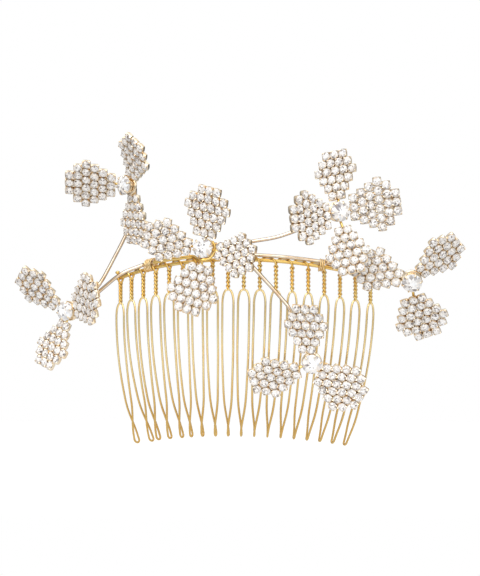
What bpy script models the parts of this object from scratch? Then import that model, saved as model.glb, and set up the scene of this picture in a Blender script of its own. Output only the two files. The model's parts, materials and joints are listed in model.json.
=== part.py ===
"""Decorative hair comb: a bent-wire comb that carries six jewelled flowers on wire stems.

Row frame, in metres: +X runs along the comb's chord, +Z is up, the front faces -Y and the teeth
point down. Everything is laid out from the middle of the core rod. At the end the whole comb is
shifted, so that the origin of the finished part is the middle of its bounding box.

The flowers are laid out in a spray plane that is turned a little from the chord. Its places are
given as (across, up, depth) in millimetres, and depth grows towards the back.
"""
import math
from collections import namedtuple

import bmesh
import bpy
from mathutils import Matrix, Vector

MM = 0.001
UP = Vector((0.0, 0.0, 1.0))
GAP = 0.3 * MM
BEND_GAP = 0.6 * MM
SHARP_ANGLE = math.radians(35)

# ---- core rod: an arc in plan whose ends run back and sag ----
ROD_RADIUS = 0.5 * MM
ROD_ARC_RADIUS = 63.4 * MM
ROD_HALF_ANGLE = math.radians(33.5)
ROD_END_SAG = 4.9 * MM
ROD_OVERHANG = 1.0 * MM
ROD_STEPS = 34

# ---- tooth wire: one wire that forms every tooth and laps over the rod between them ----
TOOTH_COUNT = 18
TOOTH_WIRE_RADIUS = 0.3 * MM
LAP_DISTANCE = 0.95 * MM
LAP_STEPS = 8
TWIST_TOP = 1.3 * MM
TWIST_RADIUS = 0.5 * MM
TWIST_QUARTER_TURNS = 13
TWIST_FOOT = 8.2 * MM
TWIST_FOOT_END_DROP = 3.8 * MM
TOOTH_TIP = 48.4 * MM
TOOTH_TIP_END_DROP = 2.6 * MM
TOOTH_CURL = 11.0 * MM
TOOTH_CURL_POWER = 1.7
TOOTH_LEAN = 2.8 * MM
LEG_TURN = math.radians(88)
LEG_TURN_START = 0.6
LEG_TURN_END = 1.0
TIP_LOOP_RADIUS = 0.9 * MM
TIP_LOOP_STEPS = 4
TIP_LOOP_SHARE = 0.977
# Half the distance between a tooth's legs, at shares of its length below the twist.
LEG_STATIONS = ((0.0, TWIST_RADIUS), (0.056, 1.42 * MM), (0.45, 1.7 * MM),
                (TIP_LOOP_SHARE, TIP_LOOP_RADIUS))
LEG_SHARES = (0.028, 0.056, 0.25, 0.45, 0.6, 0.72, 0.82, 0.9, TIP_LOOP_SHARE)

# ---- stems, and the fine wire coils that bind two of them to the rod ----
STEM_RADIUS = 0.5 * MM
STEM_CLOCK = math.radians(48)
STEM_DISTANCE = 1.9 * MM
STEM_BOUND_STEPS = 10
STEM_STEPS = 3
LEFT_STEM_END_PLACE = 6.85
RIGHT_STEM_START_PLACE = 7.25
COIL_WIRE_RADIUS = 0.15 * MM
COIL_RADIUS = 1.74 * MM
COIL_CENTRE_FORWARD = 0.7 * MM
COIL_CENTRE_UP = 0.6 * MM
COIL_PITCH = 0.4 * MM
COIL_STEPS_PER_TURN = 12
COIL_STEM_OVERHANG = 0.3 * MM
LEFT_COIL_PLACE = 3.58
LEFT_COIL_TURNS = 5
RIGHT_COIL_PLACE = 14.55
RIGHT_COIL_TURNS = 4

# ---- flowers ----
SPRAY_TURN = math.radians(12.5)
DISC_RADIUS = 2.2 * MM
DISC_TOP = -2.0 * MM
DISC_THICKNESS = 0.8 * MM
DISC_SIDES = 20
SETTING_OUTER_RADIUS = 2.6 * MM
SETTING_INNER_RADIUS = 2.32 * MM
SETTING_BASE = -1.7 * MM
SETTING_RIM = -0.3 * MM
CLAW_TOP = 0.45 * MM
CLAW_COUNT = 6
SETTING_SIDES = 18
STONE_RADIUS = 2.2 * MM
STONE_TABLE_RADIUS = 1.3 * MM
STONE_TABLE_HEIGHT = 0.75 * MM
STONE_DEPTH = 1.4 * MM
STONE_SIDES = 12

# ---- petals: rows of set stones, widest near the tip ----
STONE_PITCH = 2.45 * MM
ROW_PITCH = 2.3 * MM
PETAL_THICKNESS = 1.7 * MM
PETAL_LEVEL = -1.6 * MM
PETAL_REACH = 10.0 * MM
PETAL_ROWS = {"small": (2, 3, 4, 5, 4, 3), "large": (3, 4, 5, 6, 5, 3)}

# Petal: its centre from the flower's own, the direction of its tip, how far the tip lifts to the
# front, and how far its right-hand side rolls to the front. Millimetres and degrees.
Petal = namedtuple("Petal", "name size across up angle lift roll")
# Flower: the place of its middle stone, and the way it faces: a turn to the right and a nod down.
Flower = namedtuple("Flower", "across up depth turn nod petals")

FLOWERS = {
    "a": Flower(-47.0, -14.0, 12.0, -37, 0, (
        Petal("upper_left", "small", -7.3, 5.9, 140, -7, 44),
        Petal("right", "large", 6.3, 3.1, 27, 56, 21),
        Petal("lower", "small", -2.8, -9.1, 243, 0, -44))),
    "b": Flower(-30.8, 20.4, 8.0, -50, 0, (
        Petal("left", "large", -9.0, 0.4, 176, -2, 34),
        Petal("top", "small", 3.1, 7.0, 83, 45, 45),
        Petal("bottom", "small", 3.1, -9.3, 272, -8, -53))),
    "c": Flower(-9.0, 3.1, -3.0, -16, 0, (
        Petal("top", "large", 1.3, 9.7, 83, 14, 32),
        Petal("left", "small", -9.5, 1.9, 164, -12, 14),
        Petal("bottom", "large", -2.3, -11.1, 252, 7, -17),
        Petal("right", "small", 8.9, -1.9, -13, 42, -4))),
    "d": Flower(28.0, 12.8, -6.5, 20, 0, (
        Petal("top", "small", -1.1, 9.8, 93, -15, 25),
        Petal("right", "large", 9.4, 1.9, 7, 0, -1),
        Petal("left", "large", -8.3, -1.8, 186, 39, 0),
        Petal("bottom", "small", 1.8, -10.4, 281, 22, -6))),
    "e": Flower(47.0, -6.5, -9.3, 0, 30, (
        Petal("left", "small", -9.0, 3.4, 160, -12, 0),
        Petal("upper_right", "small", 7.2, 7.2, 40, 4, -36),
        Petal("bottom", "large", 2.7, -8.9, 295, -31, -15))),
    "f": Flower(20.4, -28.2, -5.0, 0, 17, (
        Petal("top", "small", -1.6, 9.5, 93, 20, 18),
        Petal("left", "small", -9.9, -3.2, 194, -9, 22),
        Petal("right", "large", 7.8, -5.8, -32, -1, -21))),
}

# Points of the free stems between their roots and the backs of their flowers.
STEM_A_POINTS = ((-31.5, -3.9, 10.4), (-37.0, -8.2, 12.6), (-42.0, -12.2, 14.8))
STEM_B_POINTS = ((-42.9, -11.6, 16.3), (-38.0, -7.1, 16.6), (-34.2, -0.5, 17.0),
                 (-30.0, 7.8, 17.3), (-28.7, 11.5, 17.4), (-28.0, 15.5, 16.6),
                 (-27.7, 18.9, 14.7), (-27.8, 20.0, 12.8))
STEM_D_POINTS = ((-7.0, 4.2, 0.5), (-3.5, 4.1, 0.2), (0.5, 3.9, -0.3), (4.75, 4.9, -0.8),
                 (10.5, 5.9, -1.3), (15.8, 7.6, -1.8), (24.0, 10.9, -2.7))
STEM_E_POINTS = ((30.0, -2.4, -1.7), (38.0, -4.3, -2.5), (43.5, -5.3, -4.0))
STEM_F_POINTS = ((-7.0, 2.7, 0.4), (-3.2, 2.9, -1.7), (0.2, 2.4, -3.1), (5.1, -2.6, -3.4),
                 (12.6, -10.9, -3.5), (14.5, -13.6, -3.6), (18.2, -21.5, -2.2))

GOLD_WIRE = ("gold_wire", (0.80, 0.58, 0.25, 1.0), 0.25, 1.0)
ROSE_WIRE = ("rose_gold_wire", (0.78, 0.55, 0.38, 1.0), 0.25, 1.0)
FINE_WIRE = ("fine_gold_wire", (0.82, 0.60, 0.30, 1.0), 0.30, 1.0)
SETTING_GOLD = ("setting_gold", (0.85, 0.65, 0.35, 1.0), 0.30, 1.0)
CUP_CHAIN = ("set_stones", (0.90, 0.88, 0.84, 1.0), 0.15, 0.2)
CLEAR_STONE = ("clear_stone", (0.95, 0.95, 0.96, 1.0), 0.05, 0.0)


def clear_scene():
    """Remove every object that the scene starts with."""
    for item in list(bpy.data.objects):
        bpy.data.objects.remove(item, do_unlink=True)


def make_material(finish):
    """A Principled material from a name, a colour, a roughness and a metallic value."""
    name, colour, roughness, metallic = finish
    material = bpy.data.materials.get(name)
    if material is None:
        material = bpy.data.materials.new(name)
        material.use_nodes = True
        shader = material.node_tree.nodes["Principled BSDF"]
        shader.inputs["Base Color"].default_value = colour
        shader.inputs["Roughness"].default_value = roughness
        shader.inputs["Metallic"].default_value = metallic
    return material


def link(item, finish):
    """Put an object in the scene with its material."""
    item.data.materials.append(make_material(finish))
    bpy.context.scene.collection.objects.link(item)
    return item


def make_wire(name, points, radius, finish, sides=6):
    """A round wire with closed ends that follows the points."""
    curve = bpy.data.curves.new(name, "CURVE")
    curve.dimensions = "3D"
    curve.bevel_depth = radius
    curve.bevel_resolution = (sides - 4) // 2
    curve.use_fill_caps = True
    spline = curve.splines.new("POLY")
    spline.points.add(len(points) - 1)
    for knot, point in zip(spline.points, points):
        knot.co = (point.x, point.y, point.z, 1.0)
        knot.radius = 1.0
    spline.use_smooth = True
    return link(bpy.data.objects.new(name, curve), finish)


def make_mesh(name, bm, finish):
    """A closed mesh object with outward faces and smooth round sides."""
    bmesh.ops.recalc_face_normals(bm, faces=bm.faces)
    mesh = bpy.data.meshes.new(name)
    bm.to_mesh(mesh)
    bm.free()
    mesh.shade_smooth()
    mesh.set_sharp_from_angle(angle=SHARP_ANGLE)
    return link(bpy.data.objects.new(name, mesh), finish)


def smooth_share(share):
    """Ease from 0 to 1 with level ends."""
    share = min(max(share, 0.0), 1.0)
    return share * share * (3.0 - 2.0 * share)


def smooth_path(knots, steps):
    """A Catmull-Rom path through the knots, with straight ends."""
    guides = [2 * knots[0] - knots[1]] + list(knots) + [2 * knots[-1] - knots[-2]]
    path = [knots[0]]
    for start in range(1, len(guides) - 2):
        before, first, second, after = guides[start - 1:start + 3]
        for step in range(1, steps + 1):
            t = step / steps
            path.append(0.5 * (2 * first + (second - before) * t
                               + (2 * before - 5 * first + 4 * second - after) * t ** 2
                               + (3 * first - before - 3 * second + after) * t ** 3))
    return path


# ---- the rod's own directions ----

def rod_point(angle):
    """Centre of the core rod at a plan angle."""
    share = angle / ROD_HALF_ANGLE
    return Vector((ROD_ARC_RADIUS * math.sin(angle),
                   ROD_ARC_RADIUS * (1.0 - math.cos(angle)),
                   -ROD_END_SAG * share ** 2))


def rod_along(angle):
    """Level direction along the rod, left to right."""
    return Vector((math.cos(angle), math.sin(angle), 0.0))


def rod_inward(angle):
    """Level direction from the rod towards the head."""
    return Vector((-math.sin(angle), math.cos(angle), 0.0))


def beside_rod(angle, forward, up):
    """A point beside the rod, a distance forward of its centre and a distance above it."""
    return rod_point(angle) - rod_inward(angle) * forward + UP * up


def around_rod(angle, clock, distance):
    """A point round the rod: clock 0 is above it, a right angle is in front of it."""
    return beside_rod(angle, distance * math.sin(clock), distance * math.cos(clock))


def tooth_angle(place):
    """Plan angle of a tooth, counted from 1 at the left. Halves fall between teeth."""
    return ROD_HALF_ANGLE * (2.0 * (place - 1) / (TOOTH_COUNT - 1) - 1.0)


# ---- comb ----

def make_core_rod():
    """The stiff rod that every tooth hangs from."""
    end = ROD_HALF_ANGLE + ROD_OVERHANG / ROD_ARC_RADIUS
    points = [rod_point(-end + 2.0 * end * step / ROD_STEPS) for step in range(ROD_STEPS + 1)]
    make_wire("core_rod", points, ROD_RADIUS, GOLD_WIRE, sides=8)


def lap_points(start_angle, end_angle, first_share, last_share):
    """The tooth wire over the rod, from behind one tooth (share 0) to the front of the next (1)."""
    points = []
    for step in range(LAP_STEPS + 1):
        share = step / LAP_STEPS
        if first_share <= share <= last_share:
            clock = -math.pi / 2 * math.cos(math.pi * share) ** 3
            place = (share - first_share) / (last_share - first_share)
            angle = start_angle + (end_angle - start_angle) * place
            points.append(around_rod(angle, clock, LAP_DISTANCE))
    return points


def twist_foot_height(angle):
    """Height of the foot of a tooth's twist."""
    return -TWIST_FOOT - TWIST_FOOT_END_DROP * (angle / ROD_HALF_ANGLE) ** 2


def twist_points(angle, phase):
    """One strand of a tooth's twist, top to foot. Phase 0 starts in front of the rod."""
    root = rod_point(angle)
    top = root.z - TWIST_TOP
    foot = twist_foot_height(angle)
    points = []
    for step in range(TWIST_QUARTER_TURNS + 1):
        turn = phase + step * math.pi / 2
        height = top + (foot - top) * step / TWIST_QUARTER_TURNS
        aside = rod_along(angle) * math.sin(turn) - rod_inward(angle) * math.cos(turn)
        points.append(Vector((root.x, root.y, height)) + aside * TWIST_RADIUS)
    return points


def tooth_middle(angle, share):
    """Middle line of a tooth below its twist: it curls to the head and leans to the left."""
    root = rod_point(angle)
    foot = twist_foot_height(angle)
    tip = -TOOTH_TIP - TOOTH_TIP_END_DROP * (angle / ROD_HALF_ANGLE) ** 2
    middle = Vector((root.x - TOOTH_LEAN * share, root.y, foot + (tip - foot) * share))
    return middle + rod_inward(angle) * TOOTH_CURL * share ** TOOTH_CURL_POWER


def leg_direction(angle, share):
    """Direction from a tooth's middle line to its right leg, which turns to the front."""
    turn = LEG_TURN * smooth_share((share - LEG_TURN_START) / (LEG_TURN_END - LEG_TURN_START))
    return rod_along(angle) * math.cos(turn) - rod_inward(angle) * math.sin(turn)


def leg_half_gap(share):
    """Half the distance between a tooth's two legs."""
    for (start, near), (end, far) in zip(LEG_STATIONS, LEG_STATIONS[1:]):
        if share <= end:
            return near + (far - near) * smooth_share((share - start) / (end - start))
    return LEG_STATIONS[-1][1]


def leg_points(angle, side):
    """One leg of a tooth, from below the twist to its tip loop. Side 1 is the right leg."""
    return [tooth_middle(angle, share) + leg_direction(angle, share) * leg_half_gap(share) * side
            for share in LEG_SHARES]


def tip_loop_points(angle):
    """The round bend at a tooth's tip, between the ends of its right and left legs."""
    middle = tooth_middle(angle, TIP_LOOP_SHARE)
    down = (tooth_middle(angle, 1.0) - middle).normalized()
    aside = leg_direction(angle, TIP_LOOP_SHARE)
    points = []
    for step in range(1, TIP_LOOP_STEPS):
        bend = math.pi * step / TIP_LOOP_STEPS
        points.append(middle + (aside * math.cos(bend) + down * math.sin(bend)) * TIP_LOOP_RADIUS)
    return points


def tooth_points(angle):
    """One tooth: down the front strand and right leg, round the tip, and back up behind."""
    down = twist_points(angle, 0.0) + leg_points(angle, 1)
    up = leg_points(angle, -1)[::-1] + twist_points(angle, math.pi)[::-1]
    return down + tip_loop_points(angle) + up


def make_tooth_wire():
    """The one long wire that makes all the teeth and laps over the rod from each to the next."""
    overhang = ROD_OVERHANG / ROD_ARC_RADIUS
    angles = [tooth_angle(place) for place in range(1, TOOTH_COUNT + 1)]
    points = lap_points(angles[0] - overhang, angles[0], 0.5, 1.0)
    for angle, next_angle in zip(angles, angles[1:]):
        points += tooth_points(angle)
        points += lap_points(angle, next_angle, 0.0, 1.0)
    points += tooth_points(angles[-1])
    points += lap_points(angles[-1], angles[-1] + overhang, 0.0, 0.5)
    make_wire("tooth_wire", points, TOOTH_WIRE_RADIUS, GOLD_WIRE, sides=4)


def coil_half_angle(turns):
    """Plan angle from the middle of a coil to its end."""
    return 0.5 * turns * COIL_PITCH / ROD_ARC_RADIUS


def make_binding_coil(name, place, turns):
    """Fine wire wound round the rod, the tooth wire and a stem."""
    half = coil_half_angle(turns)
    steps = turns * COIL_STEPS_PER_TURN
    points = []
    for step in range(steps + 1):
        turn = 2.0 * math.pi * step / COIL_STEPS_PER_TURN
        angle = tooth_angle(place) - half + 2.0 * half * step / steps
        forward = COIL_CENTRE_FORWARD + COIL_RADIUS * math.sin(turn)
        height = COIL_CENTRE_UP + COIL_RADIUS * math.cos(turn)
        points.append(beside_rod(angle, forward, height))
    make_wire(name, points, COIL_WIRE_RADIUS, FINE_WIRE, sides=4)


# ---- spray ----

def spray_direction(across, up, toward):
    """A direction in the spray plane's own axes; toward points to the front."""
    return Vector((across * math.cos(SPRAY_TURN) + toward * math.sin(SPRAY_TURN),
                   across * math.sin(SPRAY_TURN) - toward * math.cos(SPRAY_TURN),
                   up))


def spray_point(across, up, depth):
    """A place in the spray, given in millimetres."""
    return spray_direction(across, up, -depth) * MM


def flower_facing(flower):
    """The direction that a flower's middle stone faces."""
    turn = math.radians(flower.turn)
    nod = math.radians(flower.nod)
    return spray_direction(math.sin(turn) * math.cos(nod), -math.sin(nod),
                           math.cos(turn) * math.cos(nod))


def flower_point(flower, height):
    """A point on a flower's axis: height 0 is the girdle of its middle stone."""
    middle = spray_point(flower.across, flower.up, flower.depth)
    return middle + flower_facing(flower) * height


def stem_end(flower):
    """Where a stem ends, just behind the flower's base disc."""
    return flower_point(flower, DISC_TOP - DISC_THICKNESS - GAP - STEM_RADIUS)


def bound_stem_points(start, end):
    """A stem that lies along the front of the rod between two plan angles."""
    return [around_rod(start + (end - start) * step / STEM_BOUND_STEPS, STEM_CLOCK, STEM_DISTANCE)
            for step in range(STEM_BOUND_STEPS + 1)]


def coil_stem_turn(turns):
    """Plan angle from a coil's middle to where its stem leaves it."""
    return coil_half_angle(turns) + COIL_STEM_OVERHANG / ROD_ARC_RADIUS


def left_root():
    """Where the left stem leaves its coil, which is where it bends."""
    angle = tooth_angle(LEFT_COIL_PLACE) - coil_stem_turn(LEFT_COIL_TURNS)
    return around_rod(angle, STEM_CLOCK, STEM_DISTANCE)


def right_root():
    """Where the right stem leaves its coil, which is where it bends."""
    angle = tooth_angle(RIGHT_COIL_PLACE) + coil_stem_turn(RIGHT_COIL_TURNS)
    return around_rod(angle, STEM_CLOCK, STEM_DISTANCE)


def make_bound_stems():
    """The two stems that are bound to the rod, up to the coils that hold them."""
    left_end = tooth_angle(LEFT_COIL_PLACE) - coil_stem_turn(LEFT_COIL_TURNS)
    left = bound_stem_points(left_end, tooth_angle(LEFT_STEM_END_PLACE))
    make_wire("stem_left_bound", left, STEM_RADIUS, ROSE_WIRE)
    right_end = tooth_angle(RIGHT_COIL_PLACE) + coil_stem_turn(RIGHT_COIL_TURNS)
    right = bound_stem_points(tooth_angle(RIGHT_STEM_START_PLACE), right_end)
    make_wire("stem_right_bound", right, STEM_RADIUS, ROSE_WIRE)


def make_pivot(name, place):
    """An empty on the axis about which a sprig bends."""
    pivot = bpy.data.objects.new(name, None)
    pivot.location = place
    bpy.context.scene.collection.objects.link(pivot)
    return pivot


def make_free_stem(name, start, middle, flower, pivot):
    """A stem from its root, through its points, to the back of a flower."""
    knots = [start] + [spray_point(*place) for place in middle]
    path = smooth_path(knots + [stem_end(flower)], STEM_STEPS)
    local = [point - pivot.location for point in path]
    wire = make_wire(name, local, STEM_RADIUS, ROSE_WIRE)
    wire.parent = pivot


def axis_matrix(place, facing):
    """A placement whose local Z points along a direction."""
    rotation = facing.to_track_quat("Z", "Y").to_matrix().to_4x4()
    return Matrix.Translation(place) @ rotation


def place_object(item, matrix):
    """Set an object's location and rotation."""
    item.rotation_euler = matrix.to_euler()
    item.location = matrix.to_translation()


def ring_of(bm, radius, height, sides):
    """Vertices evenly round a circle."""
    return [bm.verts.new((radius * math.cos(2 * math.pi * side / sides),
                          radius * math.sin(2 * math.pi * side / sides), height))
            for side in range(sides)]


def bridge(bm, lower, upper):
    """Faces between two rings of the same number of vertices."""
    count = len(lower)
    for side in range(count):
        ahead = (side + 1) % count
        bm.faces.new((lower[side], lower[ahead], upper[ahead], upper[side]))


def add_part(name, bm, finish, matrix, pivot):
    """Make a flower's piece at its place, on its sprig's pivot."""
    item = make_mesh(name, bm, finish)
    place_object(item, matrix)
    if pivot is not None:
        item.location -= pivot.location
        item.parent = pivot


def make_base_disc(name, flower, pivot):
    """The round plate that the petals, the setting and the stem are soldered to."""
    bm = bmesh.new()
    top = ring_of(bm, DISC_RADIUS, DISC_TOP, DISC_SIDES)
    bottom = ring_of(bm, DISC_RADIUS, DISC_TOP - DISC_THICKNESS, DISC_SIDES)
    bridge(bm, bottom, top)
    bm.faces.new(top)
    bm.faces.new(bottom)
    matrix = axis_matrix(flower_point(flower, 0.0), flower_facing(flower))
    add_part(name, bm, SETTING_GOLD, matrix, pivot)


def make_claw_setting(name, flower, pivot):
    """The gold collar whose claws hold the middle stone."""
    bm = bmesh.new()
    build_claw_collar(bm)
    matrix = axis_matrix(flower_point(flower, 0.0), flower_facing(flower))
    add_part(name, bm, SETTING_GOLD, matrix, pivot)


def build_claw_collar(bm):
    """A thin collar with every third segment of its rim raised into a claw."""
    step = SETTING_SIDES // CLAW_COUNT
    outer_base = ring_of(bm, SETTING_OUTER_RADIUS, SETTING_BASE, SETTING_SIDES)
    outer_rim = ring_of(bm, SETTING_OUTER_RADIUS, SETTING_RIM, SETTING_SIDES)
    inner_base = ring_of(bm, SETTING_INNER_RADIUS, SETTING_BASE, SETTING_SIDES)
    inner_rim = ring_of(bm, SETTING_INNER_RADIUS, SETTING_RIM, SETTING_SIDES)
    bridge(bm, outer_base, outer_rim)
    bridge(bm, inner_rim, inner_base)
    bridge(bm, inner_base, outer_base)
    bridge(bm, outer_rim, inner_rim)
    bm.faces.ensure_lookup_table()
    rim = [face for face in bm.faces if min(v.co.z for v in face.verts) > SETTING_RIM - GAP]
    for face in rim[::step]:
        lifted = bmesh.ops.extrude_face_region(bm, geom=[face])["geom"]
        corners = [item for item in lifted if isinstance(item, bmesh.types.BMVert)]
        bmesh.ops.delete(bm, geom=[face], context="FACES_ONLY")
        bmesh.ops.translate(bm, verts=corners, vec=(0.0, 0.0, CLAW_TOP - SETTING_RIM))


def make_centre_stone(name, flower, pivot):
    """The middle stone: a flat table, a sloping crown and a pointed back."""
    bm = bmesh.new()
    table = ring_of(bm, STONE_TABLE_RADIUS, STONE_TABLE_HEIGHT, STONE_SIDES)
    girdle = ring_of(bm, STONE_RADIUS, 0.0, STONE_SIDES)
    point = bm.verts.new((0.0, 0.0, -STONE_DEPTH))
    bm.faces.new(table)
    bridge(bm, girdle, table)
    for side in range(STONE_SIDES):
        bm.faces.new((girdle[side], girdle[(side + 1) % STONE_SIDES], point))
    matrix = axis_matrix(flower_point(flower, 0.0), flower_facing(flower))
    add_part(name, bm, CLEAR_STONE, matrix, pivot)


def petal_outline(size):
    """The stepped outline of a petal's stone rows, centred, with its base at -X."""
    rows = PETAL_ROWS[size]
    right = []
    for row, count in enumerate(rows):
        near = (row - len(rows) / 2) * ROW_PITCH
        half = count * STONE_PITCH / 2
        right.append((near, -half))
        right.append((near + ROW_PITCH, -half))
    left = [(x, -y) for x, y in reversed(right)]
    return right + left


def petal_matrix(flower, petal):
    """Placement of a petal: local X runs to its tip and local Z faces the front."""
    angle = math.radians(petal.angle)
    lift = math.radians(petal.lift)
    roll = math.radians(petal.roll)
    tip = spray_direction(math.cos(angle) * math.cos(lift), math.sin(angle) * math.cos(lift),
                          math.sin(lift))
    right_level = spray_direction(math.sin(angle), -math.cos(angle), 0.0)
    face_level = right_level.cross(tip)
    right = right_level * math.cos(roll) + face_level * math.sin(roll)
    face = right.cross(tip)
    level = flower_point(flower, PETAL_LEVEL)
    forward = spray_direction(0.0, 0.0, 1.0)
    flat = spray_point(flower.across + petal.across, flower.up + petal.up, 0.0)
    place = flat + forward * (level.dot(forward) + math.sin(lift) * PETAL_REACH)
    rotation = Matrix((tip, -right, face)).transposed().to_4x4()
    return Matrix.Translation(place) @ rotation


def make_petal(name, flower, petal, pivot):
    """A petal's cluster of set stones, as one stepped plate."""
    bm = bmesh.new()
    outline = petal_outline(petal.size)
    front = [bm.verts.new((x, y, PETAL_THICKNESS / 2)) for x, y in outline]
    back = [bm.verts.new((x, y, -PETAL_THICKNESS / 2)) for x, y in outline]
    bm.faces.new(front)
    bm.faces.new(back)
    bridge(bm, back, front)
    add_part(name, bm, CUP_CHAIN, petal_matrix(flower, petal), pivot)


def make_flower(letter, pivot):
    """One flower: its base disc, claw setting, middle stone and petals."""
    flower = FLOWERS[letter]
    make_base_disc(f"flower_{letter}_base_disc", flower, pivot)
    make_claw_setting(f"flower_{letter}_claw_setting", flower, pivot)
    make_centre_stone(f"flower_{letter}_centre_stone", flower, pivot)
    for petal in flower.petals:
        make_petal(f"flower_{letter}_petal_{petal.name}", flower, petal, pivot)


def make_sprig(letter, root, root_point, stem_points):
    """A free stem with its flower, hung on the point where the stem bends."""
    pivot = make_pivot(f"sprig_{letter}_pivot", root)
    make_free_stem(f"stem_{letter}", root_point, stem_points, FLOWERS[letter], pivot)
    make_flower(letter, pivot)


def past_bend(root, target):
    """Where a free stem starts, a little beyond the point about which it bends."""
    return root + (target - root).normalized() * BEND_GAP


def centre_on_box():
    """Shift the whole comb so that the middle of its bounding box is the origin."""
    bpy.context.view_layer.update()
    evaluated = bpy.context.evaluated_depsgraph_get()
    places = []
    for item in bpy.data.objects:
        if item.type != "EMPTY":
            mesh = item.evaluated_get(evaluated).to_mesh()
            places += [item.matrix_world @ vertex.co for vertex in mesh.vertices]
    low = Vector([min(place[axis] for place in places) for axis in range(3)])
    high = Vector([max(place[axis] for place in places) for axis in range(3)])
    for item in bpy.data.objects:
        if item.parent is None:
            item.location -= (low + high) / 2


def main():
    clear_scene()
    make_core_rod()
    make_tooth_wire()
    make_binding_coil("binding_coil_left", LEFT_COIL_PLACE, LEFT_COIL_TURNS)
    make_binding_coil("binding_coil_right", RIGHT_COIL_PLACE, RIGHT_COIL_TURNS)
    make_bound_stems()
    make_flower("c", None)
    left = left_root()
    right = right_root()
    make_sprig("a", left, past_bend(left, spray_point(*STEM_A_POINTS[0])), STEM_A_POINTS)
    make_sprig("e", right, past_bend(right, spray_point(*STEM_E_POINTS[0])), STEM_E_POINTS)
    for letter, places in (("b", STEM_B_POINTS), ("d", STEM_D_POINTS), ("f", STEM_F_POINTS)):
        root = spray_point(*places[0])
        make_sprig(letter, root, root, places[1:])
    centre_on_box()


main()
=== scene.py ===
"""Looks for the decorative hair comb: every stone, cup, claw and wire, built round the CAD frame.

Lengths are in metres, +Z is up, and the camera looks straight at the plane of the flowers.
"""
import json
import math
import random

import bpy
from mathutils import Matrix, Vector


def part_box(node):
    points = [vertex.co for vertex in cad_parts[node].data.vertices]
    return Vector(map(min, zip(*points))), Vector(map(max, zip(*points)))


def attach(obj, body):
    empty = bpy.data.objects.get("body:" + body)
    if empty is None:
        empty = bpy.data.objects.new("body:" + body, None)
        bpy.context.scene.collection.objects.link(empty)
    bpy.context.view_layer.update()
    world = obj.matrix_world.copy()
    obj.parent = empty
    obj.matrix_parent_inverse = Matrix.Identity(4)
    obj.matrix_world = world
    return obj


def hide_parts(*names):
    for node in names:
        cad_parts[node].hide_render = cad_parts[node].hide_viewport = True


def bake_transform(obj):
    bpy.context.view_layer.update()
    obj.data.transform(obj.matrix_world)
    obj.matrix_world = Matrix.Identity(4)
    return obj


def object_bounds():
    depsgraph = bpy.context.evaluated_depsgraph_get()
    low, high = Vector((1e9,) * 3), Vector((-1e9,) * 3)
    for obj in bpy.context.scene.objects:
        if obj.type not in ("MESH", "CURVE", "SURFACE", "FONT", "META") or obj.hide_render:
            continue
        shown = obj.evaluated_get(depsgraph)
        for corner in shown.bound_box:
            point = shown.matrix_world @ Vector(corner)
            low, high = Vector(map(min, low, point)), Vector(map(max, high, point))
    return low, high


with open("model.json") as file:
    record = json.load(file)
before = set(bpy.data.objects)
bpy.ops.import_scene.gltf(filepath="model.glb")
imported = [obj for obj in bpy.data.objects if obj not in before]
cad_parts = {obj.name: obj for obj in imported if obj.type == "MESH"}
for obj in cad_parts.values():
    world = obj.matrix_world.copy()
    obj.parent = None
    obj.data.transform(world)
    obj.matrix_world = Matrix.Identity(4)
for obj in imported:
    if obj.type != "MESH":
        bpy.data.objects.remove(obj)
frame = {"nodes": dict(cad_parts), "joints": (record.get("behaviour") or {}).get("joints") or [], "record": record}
CAD_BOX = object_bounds()

MM = 0.001
UP = Vector((0.0, 0.0, 1.0))
SPRAY_TURN = math.radians(12.5)
TOWARD = Vector((math.sin(SPRAY_TURN), -math.cos(SPRAY_TURN), 0.0))
RIGHT = Vector((math.cos(SPRAY_TURN), math.sin(SPRAY_TURN), 0.0))

# ---- rod and tooth wire ----
ROD_RADIUS = 0.5 * MM
ROD_STEPS = 120
ROD_OVERHANG = 1.0 * MM
TOOTH_COUNT = 18
TOOTH_WIRE_RADIUS = 0.3 * MM
LAP_DISTANCE = 0.85 * MM
LAP_STEPS = 14
# The melted bead at the start of the wire, as shares of the wire's radius.
BEAD_SWELL = (0.9, 1.3, 1.7, 2.0, 2.15, 2.15, 2.0, 1.7, 1.3, 1.1)
BEAD_HEIGHT = 1.1 * MM
BEAD_LEAN = 0.3 * MM
TWIST_TOP = 1.0 * MM
TWIST_RADIUS = 0.32 * MM
TWIST_EASE = -0.4
TWIST_SPREAD = 0.25 * MM
TWIST_CLOSING_RATE = 14
TWIST_TURNS = 3.25
TWIST_STEPS = 52
TWIST_FOOT = 8.2 * MM
TWIST_FOOT_END_DROP = 3.8 * MM
# The painted amber of the twists stops this far above their feet.
AMBER_PAINT_END = 0.3 * MM
TOOTH_TIP_END_DROP = 2.6 * MM
TOOTH_CURL = 11.0 * MM
TOOTH_CURL_POWER = 1.7
TOOTH_LEAN = 2.8 * MM
TOOTH_LEAN_POWER = 1.5
TOOTH_LEAN_POWER_CHANGE = 0.5
HAND_BENT_TIPS = {1: -0.8 * MM, 2: 0.8 * MM, 4: 0.3 * MM, 5: 0.6 * MM, 7: -0.2 * MM}
LEG_TURN = math.radians(88)
LEG_TURN_START = 0.7
LEG_TURN_END = 1.0
LEG_STEPS = 40
LEG_HALF_GAP = 1.55 * MM
LEG_ARCH = 0.09
LEG_NARROWING_START = 0.35
# The teeth from the eleventh on are narrower, and the last one is narrower still.
NARROW_TEETH_START = 11
NARROW_TEETH_SPAN = 2
NARROW_TEETH_LOSS = 0.2
LAST_TOOTH_LOSS = 0.18
TIP_LOOP_RADIUS = 0.9 * MM
TIP_LOOP_STEPS = 12
TIP_LOOP_SHARE = 0.977

# ---- stems and coils ----
STEM_RADIUS = 0.5 * MM
STEM_SIDES = 12
STEM_CURVE_STEPS = 4
BEND_LENGTH = 8.0 * MM
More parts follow.
